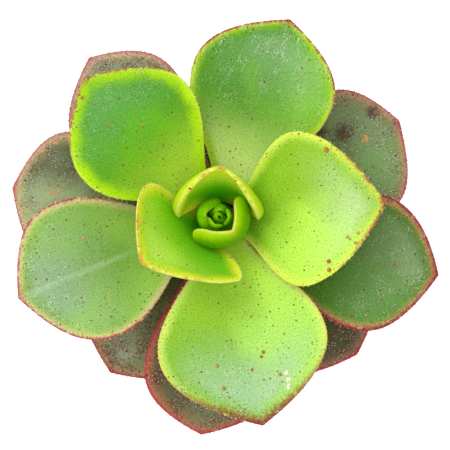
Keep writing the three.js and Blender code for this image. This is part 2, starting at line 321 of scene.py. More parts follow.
def joined(parts):
    """Several parts (points, faces, facts, slot) as one: facts that a part lacks are 0 on it."""
    names = sorted({key for part in parts for key in part[2]})
    points = np.vstack([part[0] for part in parts])
    starts = np.cumsum([0] + [len(part[0]) for part in parts])
    faces = [[corner + start for corner in face] for part, start in zip(parts, starts) for face in part[1]]
    facts = {key: np.concatenate([part[2].get(key, np.zeros(len(part[0]))) for part in parts])
             for key in names}
    slots = np.concatenate([np.full(len(part[1]), part[3], np.int32) for part in parts])
    return points, faces, facts, slots


def leaf_body(row, base, stations, columns):
    """Closed leaf: its points, its faces, and per point t, v, the half-width and the side.

    The side is 0 on the upper face, 1 on the lower one and 0.5 at the tip, where they meet.
    """
    t = np.sin(np.linspace(0, 1, stations + 1)[:-1] * np.pi / 2)
    v = np.sin(np.linspace(-1, 1, columns) * np.pi / 2)
    grid_t = np.repeat(t[:, None], columns, 1)
    grid_v = np.repeat(v[None, :], stations, 0)
    shape = grid_t.shape
    upper, lower, width = leaf_points(row, base, grid_t.ravel(), grid_v.ravel())
    upper = upper.reshape(*shape, 3)
    lower = lower.reshape(*shape, 3)
    width = width.reshape(shape)
    inner = slice(columns - 2, 0, -1)
    rings = np.concatenate([upper, lower[:, inner]], axis=1)
    size = rings.shape[1]
    tip = middle_line(row, base, np.array([1.0]))[0]
    points = np.vstack([rings.reshape(-1, 3), tip])
    ring = [np.concatenate([part, part[:, inner]], axis=1).ravel() for part in (grid_t, grid_v, width)]
    under = np.concatenate([np.zeros(shape), np.ones((stations, columns - 2))], axis=1).ravel()
    facts = [np.append(*pair) for pair in zip([*ring, under], (1.0, 0.0, 0.0, 0.5))]
    last = (stations - 1) * size
    k = np.arange(size)
    fan = np.stack([last + k, np.full(size, len(points) - 1), last + (k + 1) % size], -1)
    c = np.arange(1, columns - 2)
    cap = np.stack([c, c + 1, size - c - 1, size - c], -1)
    corners = [[0, 1, size - 1], [columns - 2, columns - 1, columns]]
    faces = [*ring_faces(stations, size).tolist(), *fan.tolist(), *cap.tolist(), *corners]
    return points, faces, facts


sample = leaf_body(LEAVES[0], base_of(0, LEAVES[0]), 20, 11)
print("a coarse leaf has", len(sample[0]), "points and", len(sample[1]), "faces")

# %% [markdown]
# Round its edge the leaf carries a row of short glandular hairs, each ending in a bead, and here and
# there a drop of its sticky sap has dried on the blade. A particle system could scatter them, but
# they have to follow the edge evenly, so each one is a little closed body of a few rings, placed at a
# measured step along the edge. One function makes them all at once, and the grit of the soil too.

# %% Small bodies: hairs, beads and grit
# Hairs start at this share of the leaf's length, a step of so many mm apart.
HAIRS_FROM = 0.22
HAIR_STEP = 2.1
EDGE_SAMPLES = 1500
# Rings of a hair and of a bead, each as shares of its length and of its radius.
HAIR_RINGS = ((-0.25, 0.75), (0.3, 0.8), (0.65, 1.0), (0.92, 0.7))
BEAD_RINGS = ((-0.3, 0.9), (0.1, 1.0), (0.5, 0.86), (0.85, 0.45))


def small_bodies(root, out, length, radius, rings, sides):
    """Closed bodies of rings round an axis: a ring lies at share x length along out from its root.

    rings lists (share of the length, share of the radius), and two poles close each body.
    """
    helper = np.where(np.abs(out[:, 2:]) > 0.9, [[1.0, 0, 0]], [[0, 0, 1.0]])
    side_a = np.cross(out, helper)
    side_a /= np.linalg.norm(side_a, axis=1)[:, None]
    side_b = np.cross(out, side_a)
    around = np.arange(sides) * 2 * np.pi / sides
    circle = side_a[:, None] * np.cos(around)[:, None] + side_b[:, None] * np.sin(around)[:, None]
    parts = [(root + out * (length * (rings[0][0] - 0.1))[:, None])[:, None]]
    for share, wide in rings:
        centre = root + out * (length * share)[:, None]
        parts.append(centre[:, None] + circle * (radius * wide)[:, None, None])
    parts.append((root + out * length[:, None])[:, None])
    points = np.concatenate(parts, axis=1)
    each = points.shape[1]
    k = np.arange(sides)
    after = (k + 1) % sides
    last = 1 + (len(rings) - 1) * sides
    start = np.stack([0 * k, 1 + k, 1 + after], -1)
    end = np.stack([last + k, 0 * k + each - 1, last + after], -1)
    low = (1 + np.arange(len(rings) - 1) * sides)[:, None]
    walls = np.stack([low + k, low + sides + k, low + sides + after, low + after], -1).reshape(-1, 4)
    shift = (np.arange(len(root)) * each)[:, None, None]
    faces = []
    for part in (start, walls, end):
        faces += (part[None] + shift).reshape(-1, part.shape[1]).tolist()
    return points.reshape(-1, 3), faces


def edge_line(row, base, side, first):
    """Points along one edge of the blade (side is +1 or -1) from t = first to the tip."""
    t = np.sin(np.linspace(np.arcsin(first) * 2 / np.pi, 1, EDGE_SAMPLES)[:-1] * np.pi / 2)
    edge = leaf_points(row, base, t, np.full(t.shape, float(side)))[0]
    inside = leaf_points(row, base, t, np.full(t.shape, 0.9 * side))
    outward = edge - (inside[0] + inside[1]) / 2
    run = np.append(0, np.cumsum(np.linalg.norm(np.diff(edge, axis=0), axis=1)))
    return edge, outward / np.linalg.norm(outward, axis=1)[:, None], run


def edge_hairs(row, base, length, radius, draw):
    """Hairs standing out from both edges, HAIR_STEP apart and each a little different."""
    root, out = np.zeros((0, 3)), np.zeros((0, 3))
    for side in (1, -1):
        edge, outward, run = edge_line(row, base, side, HAIRS_FROM)
        at = np.arange(HAIR_STEP / 2, run[-1], HAIR_STEP)
        at = at + draw.uniform(-0.5, 0.5, at.shape)
        pick = np.searchsorted(run, at).clip(0, len(run) - 1)
        root = np.vstack([root, edge[pick]])
        out = np.vstack([out, outward[pick]])
    out = out + draw.normal(0, 0.2, out.shape)
    out /= np.linalg.norm(out, axis=1)[:, None]
    count = len(root)
    return small_bodies(root, out, length * draw.uniform(0.3, 1.2, count),
                        radius * draw.uniform(0.7, 1.2, count), HAIR_RINGS, 6)


def beads_on(row, base, beads):
    """Half-sunk beads on the upper face, each given as (t, v, radius in mm)."""
    t, v, radius = np.array(beads).T
    here = leaf_points(row, base, t, v)[0]
    along = leaf_points(row, base, t + 0.004, v)[0] - here
    across = leaf_points(row, base, t, v + 0.01)[0] - here
    out = np.cross(along, across)
    out /= np.linalg.norm(out, axis=1)[:, None]
    return small_bodies(here, out, radius * 0.85, radius, BEAD_RINGS, 12)


print("one hair has", 2 + 6 * len(HAIR_RINGS), "points, one bead", 2 + 12 * len(BEAD_RINGS))

# %% [markdown]
# Leaf skin is a waxy, slightly sticky cuticle over watery flesh. Light goes in and comes out again
# tinted, so it needs a little subsurface scattering, a satin gloss and a fine orange-peel bump. Its
# colour is built up in layers: green flesh with painted light and shade on its two halves, a lemon band
# where the blade thins with a painted glow of light through it, a grey bloom towards the tip that is
# partly wax and partly painted sheen, the thin rim with a painted highlight and its red blush, then
# dots and flecks, the papillae's flecks being painted glints.
# A painted picture could do that too, but functions of the distance to the edge fit every leaf.

# %% Leaf skin: the flesh's colours, with painted light and shade
# The picture is exposed so that white paper comes out just past white. What a leaf reflects is lower
# by the same share than the colour it shows there.
EXPOSED = 1.25


def pigment(hex_colour):
    """Reflectance of a surface that shows hex_colour in the picture."""
    return (*[v / EXPOSED for v in linear(hex_colour)[:3]], 1.0)


# Settings of a Mix node that mixes two colours, its sockets 6 and 7, by a share in socket 0, and of a
# MapRange node that eases in and out.
COLOURS = dict(out=2, data_type="RGBA")
SOFT = dict(interpolation_type="SMOOTHSTEP")


def flesh(tree, fact, noise, look):
    """Colour of the bare blade with its painted light and shade, then the shares of its band, its wax bloom
    with painted sheen, and its outer half.
    """
    away = node(tree, "MapRange", {"Value": fact["along"], "From Min": 0.1, "From Max": look["neck_end"]},
                **SOFT)
    tone = node(tree, "MapRange", {"Value": noise["broad"], "From Min": 0.25, "From Max": 0.75}, **SOFT)
    # Blade and shade colours drift into each other at random, and lean puts more of the shade colour on
    # one half: on the left half where lean is above 0, fully so at 16 mm from the middle for a lean of 1.
    # This is painted light and shade: it paints one half of the cupped blade lighter and the other darker,
    # as the light falls on them.
    side = node(tree, "Math", {0: fact["across"], 1: look["lean"] / 16, 2: tone},
                operation="MULTIPLY_ADD", use_clamp=True)
    colour = node(tree, "Mix", {0: side, 6: look["blade"], 7: look["shade"]}, **COLOURS)
    colour = node(tree, "Mix", {0: away, 6: look["neck"], 7: colour}, **COLOURS)

    # Grey wax lies thickest along the middle towards the tip and breaks up into patches. Its pale colour
    # is partly the wax and partly painted sheen, where the curved blade catches the light towards the tip.
    tipward = node(tree, "MapRange", {"Value": fact["along"], "From Min": 0.45, "From Max": 0.95}, **SOFT)
    inward = node(tree, "MapRange", {"Value": fact["edge"], "From Min": 1.0, "From Max": 9.0}, **SOFT)
    patches = node(tree, "MapRange", {"Value": noise["broad"], "From Min": 0.3, "From Max": 0.6,
                                      "To Min": 0.45}, **SOFT)
    wax_and_sheen_mask = tipward
    for part in (inward, patches, look["wax_and_sheen_share"]):
        wax_and_sheen_mask = node(tree, "Math", {0: wax_and_sheen_mask, 1: part}, operation="MULTIPLY")
    colour = node(tree, "Mix", {0: wax_and_sheen_mask, 6: colour, 7: look["wax_and_sheen"]}, **COLOURS)

    # The blade thins towards its edge, and the thinner flesh is yellower: partly its own paler colour and
    # partly painted glow of light shining through the thin flesh.
    wander = node(tree, "Math", {0: noise["patchy"], 1: 0.6 * look["band_width"], 2: fact["edge"]},
                  operation="MULTIPLY_ADD")
    band = node(tree, "MapRange", {"Value": wander, "From Min": 0.35 * look["band_width"],
                                   "From Max": 1.35 * look["band_width"],
                                   "To Min": 1.0, "To Max": 0.0}, **SOFT)
    kept = node(tree, "MapRange", {"Value": tipward, "To Min": 1.0, "To Max": look["tip_band"]})
    band = node(tree, "Math", {0: band, 1: kept}, operation="MULTIPLY")
    colour = node(tree, "Mix", {0: band, 6: colour, 7: look["band"]}, **COLOURS)

    # A faint pale line, a millimetre or two wide, runs along the crease in the middle: a painted highlight
    # where the fold catches the light.
    offset = node(tree, "Math", {0: fact["across"]}, operation="ABSOLUTE")
    line = node(tree, "MapRange", {"Value": offset, "From Min": 0.1, "From Max": 1.7,
                                   "To Min": look["midline"], "To Max": 0.0}, **SOFT)
    middle = node(tree, "MapRange", {"Value": fact["along"], "From Min": 0.3, "From Max": 0.5})
    for part in (middle, noise["fibres"]):
        line = node(tree, "Math", {0: line, 1: part}, operation="MULTIPLY")
    return node(tree, "Mix", {0: line, 6: colour, 7: pigment("E2F0C8")}, **COLOURS), band, wax_and_sheen_mask, tipward


print("white paper shows as", EXPOSED, "times white")

# %% [markdown]
# The rim is the part of a leaf that the eye follows. It is a pale line a millimetre or two wide,
# partly the edge's own paler colour and partly a painted highlight where the rounded edge catches the
# light.
# On leaves that have had sun, red pigment gathers along it: as a few separate spots on young leaves,
# and as an uneven crimson border, wider towards the tip, on old ones.

# %% Leaf skin: rim and blush
def rim_and_blush(tree, fact, noise, look, colour):
    """Adds the pale line at the edge, and the red blush from blush_from onwards."""
    # The pale line is partly painted highlight and glow, where the thin rounded edge catches the light.
    line = node(tree, "MapRange", {"Value": fact["edge"], "From Min": 0.3, "From Max": look["rim_width"],
                                   "To Min": look["rim_share"], "To Max": 0.0}, **SOFT)
    colour = node(tree, "Mix", {0: line, 6: colour, 7: look["rim"]}, **COLOURS)
    sunned = node(tree, "MapRange", {"Value": fact["along"], "From Min": look["blush_from"] - 0.15,
                                     "From Max": look["blush_from"] + 0.2}, **SOFT)
    ragged = node(tree, "MapRange", {"Value": noise["fine"], "From Min": 0.3, "From Max": 0.7,
                                     "To Min": 0.7, "To Max": 1.35})
    reach = node(tree, "Math", {0: ragged, 1: look["blush_width"]}, operation="MULTIPLY")
    reach = node(tree, "Math", {0: reach, 1: sunned, 2: 0.001}, operation="MULTIPLY_ADD")
    share = node(tree, "Math", {0: fact["edge"], 1: reach}, operation="DIVIDE")
    red = node(tree, "MapRange", {"Value": share, "From Min": 0.15, "From Max": 1.3,
                                  "To Min": look["blush_share"], "To Max": 0.0}, **SOFT)
    gaps = node(tree, "MapRange", {"Value": noise["gaps"], "From Min": look["blush_gaps"] - 0.12,
                                   "From Max": look["blush_gaps"] + 0.12})
    for part in (gaps, sunned):
        red = node(tree, "Math", {0: red, 1: part}, operation="MULTIPLY")
    colour = node(tree, "Mix", {0: red, 6: colour, 7: look["blush"]}, **COLOURS)

    # The last millimetres before the tip redden by tip_red, whatever the rest of the rim does.
    point = node(tree, "MapRange", {"Value": fact["along"], "From Min": 0.955, "From Max": 0.995,
                                    "To Max": look["tip_red"]})
    return node(tree, "Mix", {0: point, 6: colour, 7: look["blush"]}, **COLOURS)


print("rim and blush ready")

# %% [markdown]
# What lies on the skin comes last: rust-red gland dots 0.3 to 0.8 mm wide, crowded near the edge; the
# fine papillae, whose sparkle is painted as white glints; broken wax in short scratches; and a few dry
# corky scars, with pale painted glints in the same layer on one leaf. Voronoi cells place the dots,
# since a cell's random colour can decide whether it has a dot at all and how large it is.

# %% Leaf skin: dots
# One cell is 1.7 mm wide and holds at most one dot.
DOT_CELL = 1.7


def gland_dots(tree, fact, flat, noise, look, colour):
    """Adds the gland dots, and gives their height for the bump."""
    cells = node(tree, "TexVoronoi", {"Vector": flat, "Scale": 1 / DOT_CELL}, voronoi_dimensions="2D")
    lot = node(tree, "SeparateColor", {0: cells.node.outputs["Color"]}).node.outputs
    crowd = node(tree, "MapRange", {"Value": fact["edge"], "From Min": 0.5, "From Max": 5.0,
                                    "To Min": look["edge_dots"], "To Max": look["dots"]})
    tipmost = node(tree, "MapRange", {"Value": fact["along"], "From Min": 0.2, "From Max": 0.8,
                                      "To Min": 0.5, "To Max": 1.25})
    swarm = node(tree, "MapRange", {"Value": noise["patchy"], "From Min": 0.4, "From Max": 0.62,
                                    "To Min": 0.3, "To Max": 1.7})
    for part in (tipmost, swarm):
        crowd = node(tree, "Math", {0: crowd, 1: part}, operation="MULTIPLY")
    chosen = node(tree, "Math", {0: lot[0], 1: crowd}, operation="LESS_THAN")
    size = node(tree, "Math", {0: lot[1], 1: 3.0}, operation="POWER")
    size = node(tree, "Math", {0: size, 1: 0.17, 2: 0.12}, operation="MULTIPLY_ADD")
    dot = node(tree, "MapRange", {"Value": cells, "From Min": 0.0, "From Max": size,
                                  "To Min": 1.0, "To Max": 0.0})
    dot = node(tree, "Math", {0: dot, 1: chosen}, operation="MULTIPLY")
    ink = node(tree, "Math", {0: dot, 1: 2.4}, operation="MULTIPLY", use_clamp=True)
    hue = node(tree, "Mix", {0: lot[2], 6: look["dot_a"], 7: look["dot_b"]}, **COLOURS)
    ink = node(tree, "Math", {0: ink, 1: 0.85}, operation="MULTIPLY")
    return node(tree, "Mix", {0: ink, 6: colour, 7: hue}, **COLOURS), dot


print("cells of", DOT_CELL, "mm for the dots")

# %% [markdown]
# A succulent's skin carries its history. Papillae catch the light, painted here as white glints, wax
# rubs off in fine scratches, sunburn leaves corky scars and pressure leaves purple bruises. On
# full_leaf_4 the scar layer paints pale glints where the blade catches the light. Each is one more thin
# layer over the colour so far, so any of them can be turned down without touching the others.

# %% Leaf skin: flecks, painted glints, scratches and scars
# Real papillae are about 0.1 mm wide. Their glints are painted as white points about 0.3 mm wide,
# one in each cell of 0.7 mm, or they wouldn't show.
PAPILLA_CELL = 0.7
# What a pore leaves of the red, green and blue of the skin round it.
PORE_SHADE = (0.62, 0.66, 0.5, 1.0)


def flecks_scars_and_glints(tree, fact, flat, noise, tipward, look, colour):
    """Adds fine pores, painted glints on the papillae, scratches in the wax, corky scars, painted glints and
    bruises.
    """
    darker = node(tree, "MapRange", {"Value": noise["pores"], "From Min": 0.32, "From Max": 0.55,
                                     "To Min": 0.7, "To Max": 0.0})
    colour = node(tree, "Mix", {0: darker, 6: colour, 7: PORE_SHADE}, blend_type="MULTIPLY", **COLOURS)
    drift = node(tree, "MapRange", {"Value": noise["patchy"], "From Min": 0.42, "From Max": 0.64,
                                    "To Min": 0.2, "To Max": 1.0}, **SOFT)
    outward = node(tree, "MapRange", {"Value": tipward, "To Min": 0.3})
    # Painted highlights: the white points are glints of light on the papillae, painted into the colour.
    cells = node(tree, "TexVoronoi", {"Vector": flat, "Scale": 1 / PAPILLA_CELL}, voronoi_dimensions="2D")
    lot = node(tree, "SeparateColor", {0: cells.node.outputs["Color"]})
    strength = node(tree, "Math", {0: lot, 1: 2.5}, operation="POWER")
    sparkle = node(tree, "MapRange", {"Value": cells, "From Min": 0.14, "From Max": 0.34,
                                      "To Min": look["flecks"], "To Max": 0.0})
    for part in (strength, drift, outward):
        sparkle = node(tree, "Math", {0: sparkle, 1: part}, operation="MULTIPLY")
    colour = node(tree, "Mix", {0: sparkle, 6: colour, 7: pigment("F6FAEC")}, **COLOURS)

    # Scratches in the wax: noise stretched twelve times along the leaf. Its turn comes after the
    # stretch, so it doesn't slant the scratches, it only picks another piece of the noise.
    slanted = node(tree, "Mapping", {"Vector": flat, "Rotation": (0, 0, look["scratch_turn"]),
                                     "Scale": (2.4, 0.2, 1.0)})
    streak = node(tree, "TexNoise", {"Vector": slanted, "Scale": 1.0, "Detail": 2.0},
                  noise_dimensions="2D")
    streak = node(tree, "MapRange", {"Value": streak, "From Min": 0.62, "From Max": 0.74,
                                     "To Max": look["scratches"]})
    for part in (outward, drift):
        streak = node(tree, "Math", {0: streak, 1: part}, operation="MULTIPLY")
    colour = node(tree, "Mix", {0: streak, 6: colour, 7: pigment("EAF4DA")}, **COLOURS)

    # Corky scars, and on full_leaf_4 pale painted glints where its blade catches the light, in the same
    # layer.
    torn = node(tree, "Math", {0: noise["fine"], 1: 1.4, 2: fact["scar"]}, operation="MULTIPLY_ADD")
    cork_and_glint = node(tree, "MapRange", {"Value": torn, "From Min": 1.12, "From Max": 1.2})
    colour = node(tree, "Mix", {0: cork_and_glint, 6: colour, 7: look["scar_and_glint_colour"]}, **COLOURS)
    torn = node(tree, "Math", {0: noise["fine"], 1: 1.1, 2: fact["bruise"]}, operation="MULTIPLY_ADD")
    purple = node(tree, "MapRange", {"Value": torn, "From Min": 0.75, "From Max": 1.35, "To Max": 0.8})
    return node(tree, "Mix", {0: purple, 6: colour, 7: pigment("5A2A34")}, **COLOURS)


print("cells of", PAPILLA_CELL, "mm for the papillae")

# %% [markdown]
# The skin itself joins these layers. Each leaf gets its own, because no two leaves of a rosette have
# the same age or have had the same sun. To the eye it is satin, soft where the flesh is thin, and
# drier and duller where the bloom lies.

# %% Leaf skin: the finished material
# What a palette doesn't say. neck_end and blush_from are shares of the leaf's length; every width is
# in mm; dots and edge_dots are the shares of cells with a dot, in the middle and at the edge. The
# other numbers go from 0 to 1, but for lean, which flesh() explains, and scratch_turn, in radians.
PLAIN_LOOK = dict(
    neck_end=0.5, lean=0.0, band_width=4.0, tip_band=0.7, wax_and_sheen_share=0.6, midline=0.0,
    rim_width=1.2, rim_share=0.8, blush_from=0.7, blush_width=1.2, blush_share=0.8, blush_gaps=0.5,
    tip_red=0.8, dots=0.2, edge_dots=0.35, flecks=0.5, scratches=0.0, scratch_turn=0.5, mottle=0.0,
    dot_a="7A1C10", dot_b="A0481C", scar_and_glint_colour="D9A45A", roughness=0.4, glow=0.12,
)
# Refractive index of plant wax, and how far light spreads in the flesh, in mm.
WAX_IOR = 1.44
FLESH_DEPTH = 0.9


def leaf_skin(name, look):
    """Skin of a living succulent leaf: waxy cuticle, grown over watery flesh."""
    look = {key: pigment(value) if isinstance(value, str) else value
            for key, value in dict(PLAIN_LOOK, **look).items()}
    skin, tree = blank_material(name)
    fact = {key: node(tree, "Attribute", attribute_name=key, out=2)
            for key in ("edge", "along", "across", "length", "under", "scar", "bruise")}
    flat = node(tree, "CombineXYZ", {0: fact["across"], 1: fact["length"]})
    flat = node(tree, "VectorMath", {0: flat, 1: (look["seed"], look["seed"] * 0.7, 0.0)},
                operation="ADD")
    squeezed = node(tree, "VectorMath", {0: flat, 1: (1.0, 0.12, 1.0)}, operation="MULTIPLY")
    noise = {"fibres": node(tree, "TexNoise", {"Vector": squeezed, "Scale": 1.1, "Detail": 3.0},
                            noise_dimensions="2D")}
    # Lumps per millimetre and how many finer layers lie on each.
    for key, (scale, detail) in dict(broad=(0.04, 2), patchy=(0.16, 5), gaps=(0.4, 2), fine=(0.9, 3),
                                     pores=(1.7, 3)).items():
        noise[key] = node(tree, "TexNoise", {"Vector": flat, "Scale": scale, "Detail": float(detail)},
                          noise_dimensions="2D")
    colour, band, wax_and_sheen_mask, tipward = flesh(tree, fact, noise, look)

    # Old leaves turn purplish brown in ragged clouds.
    cloudy = node(tree, "Math", {0: noise["fine"], 1: 0.8, 2: noise["patchy"]}, operation="MULTIPLY_ADD")
    clouds = node(tree, "MapRange", {"Value": cloudy, "From Min": 0.8, "From Max": 1.05,
                                     "To Max": look["mottle"]}, **SOFT)
    colour = node(tree, "Mix", {0: clouds, 6: colour, 7: pigment("78402E")}, **COLOURS)
    colour = rim_and_blush(tree, fact, noise, look, colour)
    colour, dot = gland_dots(tree, fact, flat, noise, look, colour)
    colour = flecks_scars_and_glints(tree, fact, flat, noise, tipward, look, colour)

    # The lower face is duller, with the fibres showing through it and the same band, with its painted
    # glow, at its edge.
    below = node(tree, "Mix", {0: noise["fibres"], 6: look["under"], 7: look["shade"]}, **COLOURS)
    below = node(tree, "Mix", {0: band, 6: below, 7: look["under_band"]}, **COLOURS)
    below = rim_and_blush(tree, fact, noise, look, below)
    colour = node(tree, "Mix", {0: fact["under"], 6: colour, 7: below}, **COLOURS)

    # The bump: pores 0.6 mm wide, fibres, and the dots standing up a little.
    height = node(tree, "Math", {0: noise["fibres"], 1: 0.6, 2: noise["pores"]},
                  operation="MULTIPLY_ADD")
    height = node(tree, "Math", {0: dot, 1: 1.5, 2: height}, operation="MULTIPLY_ADD")
    bump = node(tree, "Bump", {"Strength": 0.4, "Distance": 0.25 * MM, "Height": height})
    rough = node(tree, "MapRange", {"Value": wax_and_sheen_mask, "To Min": look["roughness"],
                                    "To Max": look["roughness"] + 0.15})
    surface = node(tree, "BsdfPrincipled", {
        "Base Color": colour, "Roughness": rough, "Normal": bump, "IOR": WAX_IOR,
        "Specular IOR Level": 0.12, "Subsurface Weight": look["glow"],
        "Subsurface Radius": (0.8, 1.0, 0.2), "Subsurface Scale": FLESH_DEPTH * MM,
    })
    node(tree, "OutputMaterial", {"Surface": surface})
    return skin


print("plant wax bends light by", WAX_IOR)

# %% [markdown]
# The glandular hairs end in beads of sticky sap, and drops of the same sap dry on the blade. Sap is
# clear like amber, so it gets a smoother, glossier skin than the leaf and lets some light in. The
# hairs are almost white on young leaves and crimson on old ones.

# %% Sap and hairs
def sap_skin(name, colour_a, colour_b):
    """A drop of clear sticky sap, dried on: glossier than the blade it sits on."""
    skin, tree = blank_material(name)
    where = node(tree, "TexCoord", out=3)
    change = node(tree, "TexNoise", {"Vector": where, "Scale": 300.0, "Detail": 1.0})
    pick = node(tree, "MapRange", {"Value": change, "From Min": 0.4, "From Max": 0.6})
    colour = node(tree, "Mix", {0: pick, 6: pigment(colour_a), 7: pigment(colour_b)}, **COLOURS)
    surface = node(tree, "BsdfPrincipled", {
        "Base Color": colour, "Roughness": 0.22, "IOR": 1.47, "Subsurface Weight": 0.3,
        "Subsurface Radius": (1.0, 0.8, 0.4), "Subsurface Scale": 0.4 * MM,
    })
    node(tree, "OutputMaterial", {"Surface": surface})
    return skin


HAIRS = {
    "pale": sap_skin("edge_hairs_pale", "FBFCD8", "E8F4A0"),
    "mixed": sap_skin("edge_hairs_straw", "F4ECB8", "D89A68"),
    "red": sap_skin("edge_hairs_crimson", "C85868", "7A1C30"),
}
SAP = sap_skin("dried_sap", "B4602C", "E0A868")
print(len(HAIRS), "hair skins")

# %% [markdown]
# Each leaf now gets its own few named colours, matched to the photograph: bright yellow-green in the
# heart and on the upper leaves, deeper green with a grey bloom, partly painted sheen, in the middle, and
# grey-green going to purple brown with crimson edges below. Leaves of one age share a palette and say
# only what differs. Some colours paint light: a palette's shade colour with its lean paints one half
# lighter or darker, and its band and rim carry painted glow and highlights.

# %% Palettes
# The old leaves' dark necks are partly their own deeper green and partly painted shade, where the leaves
# above shade their bases.
OLD = dict(blade="6E7A50", neck="36400E", band="8A7A50", rim="D09878", wax_and_sheen="8C9A78", shade="56603A",
           under="8A6450", under_band="8A5044", blush="B42840", blush_from=0.0, blush_width=1.5,
           blush_share=0.95, blush_gaps=0.26, mottle=0.55, dots=0.3, edge_dots=0.5, flecks=0.9,
           dot_a="5A1418", dot_b="7A2C20", roughness=0.46, rim_width=3.2, rim_share=0.6,
           band_width=6.0)
FULL = dict(blade="84B848", neck="9CC83C", band="98C83C", rim="C8DC58", wax_and_sheen="98BC88",
            shade="70A82C", under="9AA864", under_band="A0B050", blush="A81C3C", blush_from=0.4,
            blush_width=1.1, blush_share=1.0, blush_gaps=0.36, dots=0.3, edge_dots=0.45, flecks=1.0,
            rim_width=2.4, rim_share=0.7)
BRIGHT = dict(blade="C8FC54", neck="88C80C", band="E8FF60", rim="E8FC50", wax_and_sheen="E0FFB8",
              shade="9CD028", under="B8DC40", under_band="D0EC40", blush="C03A3C", blush_from=0.7,
              blush_width=0.9, blush_share=0.9, blush_gaps=0.46, dots=0.2, edge_dots=0.35, flecks=0.8)
HEART = dict(blade="B4FF10", neck="64F000", band="F8FF28", rim="FCFF80", wax_and_sheen="D8FF80",
             shade="A8FF08", under="64A800", under_band="C8E814", blush="D86030", blush_from=0.75,
             blush_width=0.7, blush_gaps=0.58, wax_and_sheen_share=0.3, dots=0.14, edge_dots=0.3,
             flecks=0.3, band_width=4.0, rim_share=0.6, tip_red=0.6, roughness=0.36, glow=0.5)
LOOKS = {
    "old_leaf_1": dict(OLD, blade="8A9860", neck="3A4400", wax_and_sheen="D4D8B4", wax_and_sheen_share=0.8,
                       band="D8A878"),
    "old_leaf_2": dict(OLD, blade="70783C"),
    "old_leaf_3": dict(OLD, blade="545C30", shade="44482A", band="A87C74", wax_and_sheen="686C54", mottle=0.5),
    "old_leaf_4": dict(OLD, blade="ACBC84", shade="4C5830", wax_and_sheen="B8C8A0", wax_and_sheen_share=0.6,
                       band="D0BC84", lean=-1.6, mottle=0.25, rim="F0CCA8", blush="B85058",
                       blush_share=0.7),
    "old_leaf_5": dict(OLD, blade="7CA05C", shade="80786A", band="A88C5C", wax_and_sheen="98B87C",
                       lean=0.5, mottle=0.2, scratches=0.3, scratch_turn=-0.7, rim="E0A88C",
                       blush="B03850", blush_share=0.75),
    "old_leaf_6": dict(OLD, blade="8A9068", shade="544E30", band="B07C58", lean=-0.8, mottle=0.5,
                       blush="C43C44", rim="D88068"),
    "old_leaf_7": dict(OLD, blade="9CA27C", wax_and_sheen="B0C0A8", band="C4B08A", rim="F0C8B0",
                       blush="B85060", blush_share=0.75, mottle=0.45),
    # Its dark neck is partly its own deeper green and partly painted shade from the leaves above it.
    "full_leaf_1": dict(FULL, blade="5C962E", neck="386800", neck_end=0.8, band="D8A860",
                        rim="E09878", wax_and_sheen="9CB884", shade="487808", under_band="90604A",
                        blush="A02840", blush_from=0.15, blush_width=1.6, blush_gaps=0.28,
                        wax_and_sheen_share=0.85, lean=0.5),
    "full_leaf_2": dict(FULL, blade="A0D058", neck="B4E440", wax_and_sheen="A0C09C", midline=0.45, lean=-0.2,
                        shade="80B048", band="C4D470", rim="F8DCA8", blush="B83048",
                        blush_from=0.35, scratches=0.4, wax_and_sheen_share=0.9, rim_width=3.0),
    "full_leaf_3": dict(FULL, blade="8CCC3C", neck="E8FF90", neck_end=0.6, band="9CD414",
                        rim="DCF040", shade="549C0C", wax_and_sheen="90BC80", blush="A81440",
                        blush_from=0.6, scratches=0.7, scratch_turn=0.4, wax_and_sheen_share=0.75, lean=0.9),
    "full_leaf_4": dict(BRIGHT, blade="BCF45C", neck="D0FF48", neck_end=0.6, band="E4FF78",
                        rim="E8E060", shade="90C830", wax_and_sheen="B4DCAC", blush="961C34",
                        blush_from=0.76, blush_width=3.4, blush_gaps=0.3, dots=0.28,
                        wax_and_sheen_share=0.95, edge_dots=0.5, tip_band=0.2, flecks=1.0, scratches=0.4,
                        lean=-0.9, tip_red=0.95),
    "full_leaf_5": dict(BRIGHT, blade="70C40C", neck="D0F448", neck_end=0.65, band="C8FA08",
                        rim="E4F850", shade="58A800", wax_and_sheen="70B064", blush="A83C34",
                        blush_width=1.0, wax_and_sheen_share=0.75, flecks=0.6, band_width=5.5,
                        rim_share=0.5, blush_gaps=0.4),
    "full_leaf_6": dict(BRIGHT, lean=0.8, wax_and_sheen="E4FFC8", blush_width=1.3, blush_gaps=0.4),
    "young_leaf_1": dict(HEART, blade="A8E434", shade="B4F420", neck="60CC00", neck_end=0.82,
                         band="FFFF38", wax_and_sheen="ECFF80", wax_and_sheen_share=0.65, blush="D8442C", lean=-0.6,
                         blush_from=0.6, blush_width=1.2, band_width=5.0, glow=0.25),
    # The hood's wide band and its lighter shade colour on the left half are painted light on the rolled lip
    # that catches the light.
    "young_leaf_2": dict(HEART, neck_end=0.8, band_width=7.0, shade="DCFF18", lean=0.7),
    "bud_leaf_1": dict(HEART, blade="C8FF20", neck="98F800", blush_from=0.9, band_width=4.6,
                       under="5A9C00", shade="80CC00", tip_red=0.25),
    "bud_leaf_2": dict(HEART, band="A8E800", under_band="78B400", rim="A4DC20", tip_red=0.1,
                       blush_share=0.2),
    "bud_leaf_3": dict(HEART, blade="88E000", band="90E400", under="60AC00", under_band="6CB400",
                       rim="98DC10", tip_red=0.1, blush_share=0.2),
    "bud_leaf_4": dict(HEART, blade="78D000", band="84D800", under="68BC00", under_band="74C400",
                       rim="90D408", tip_red=0.1, blush_share=0.2),
}
print(len(LOOKS), "palettes")

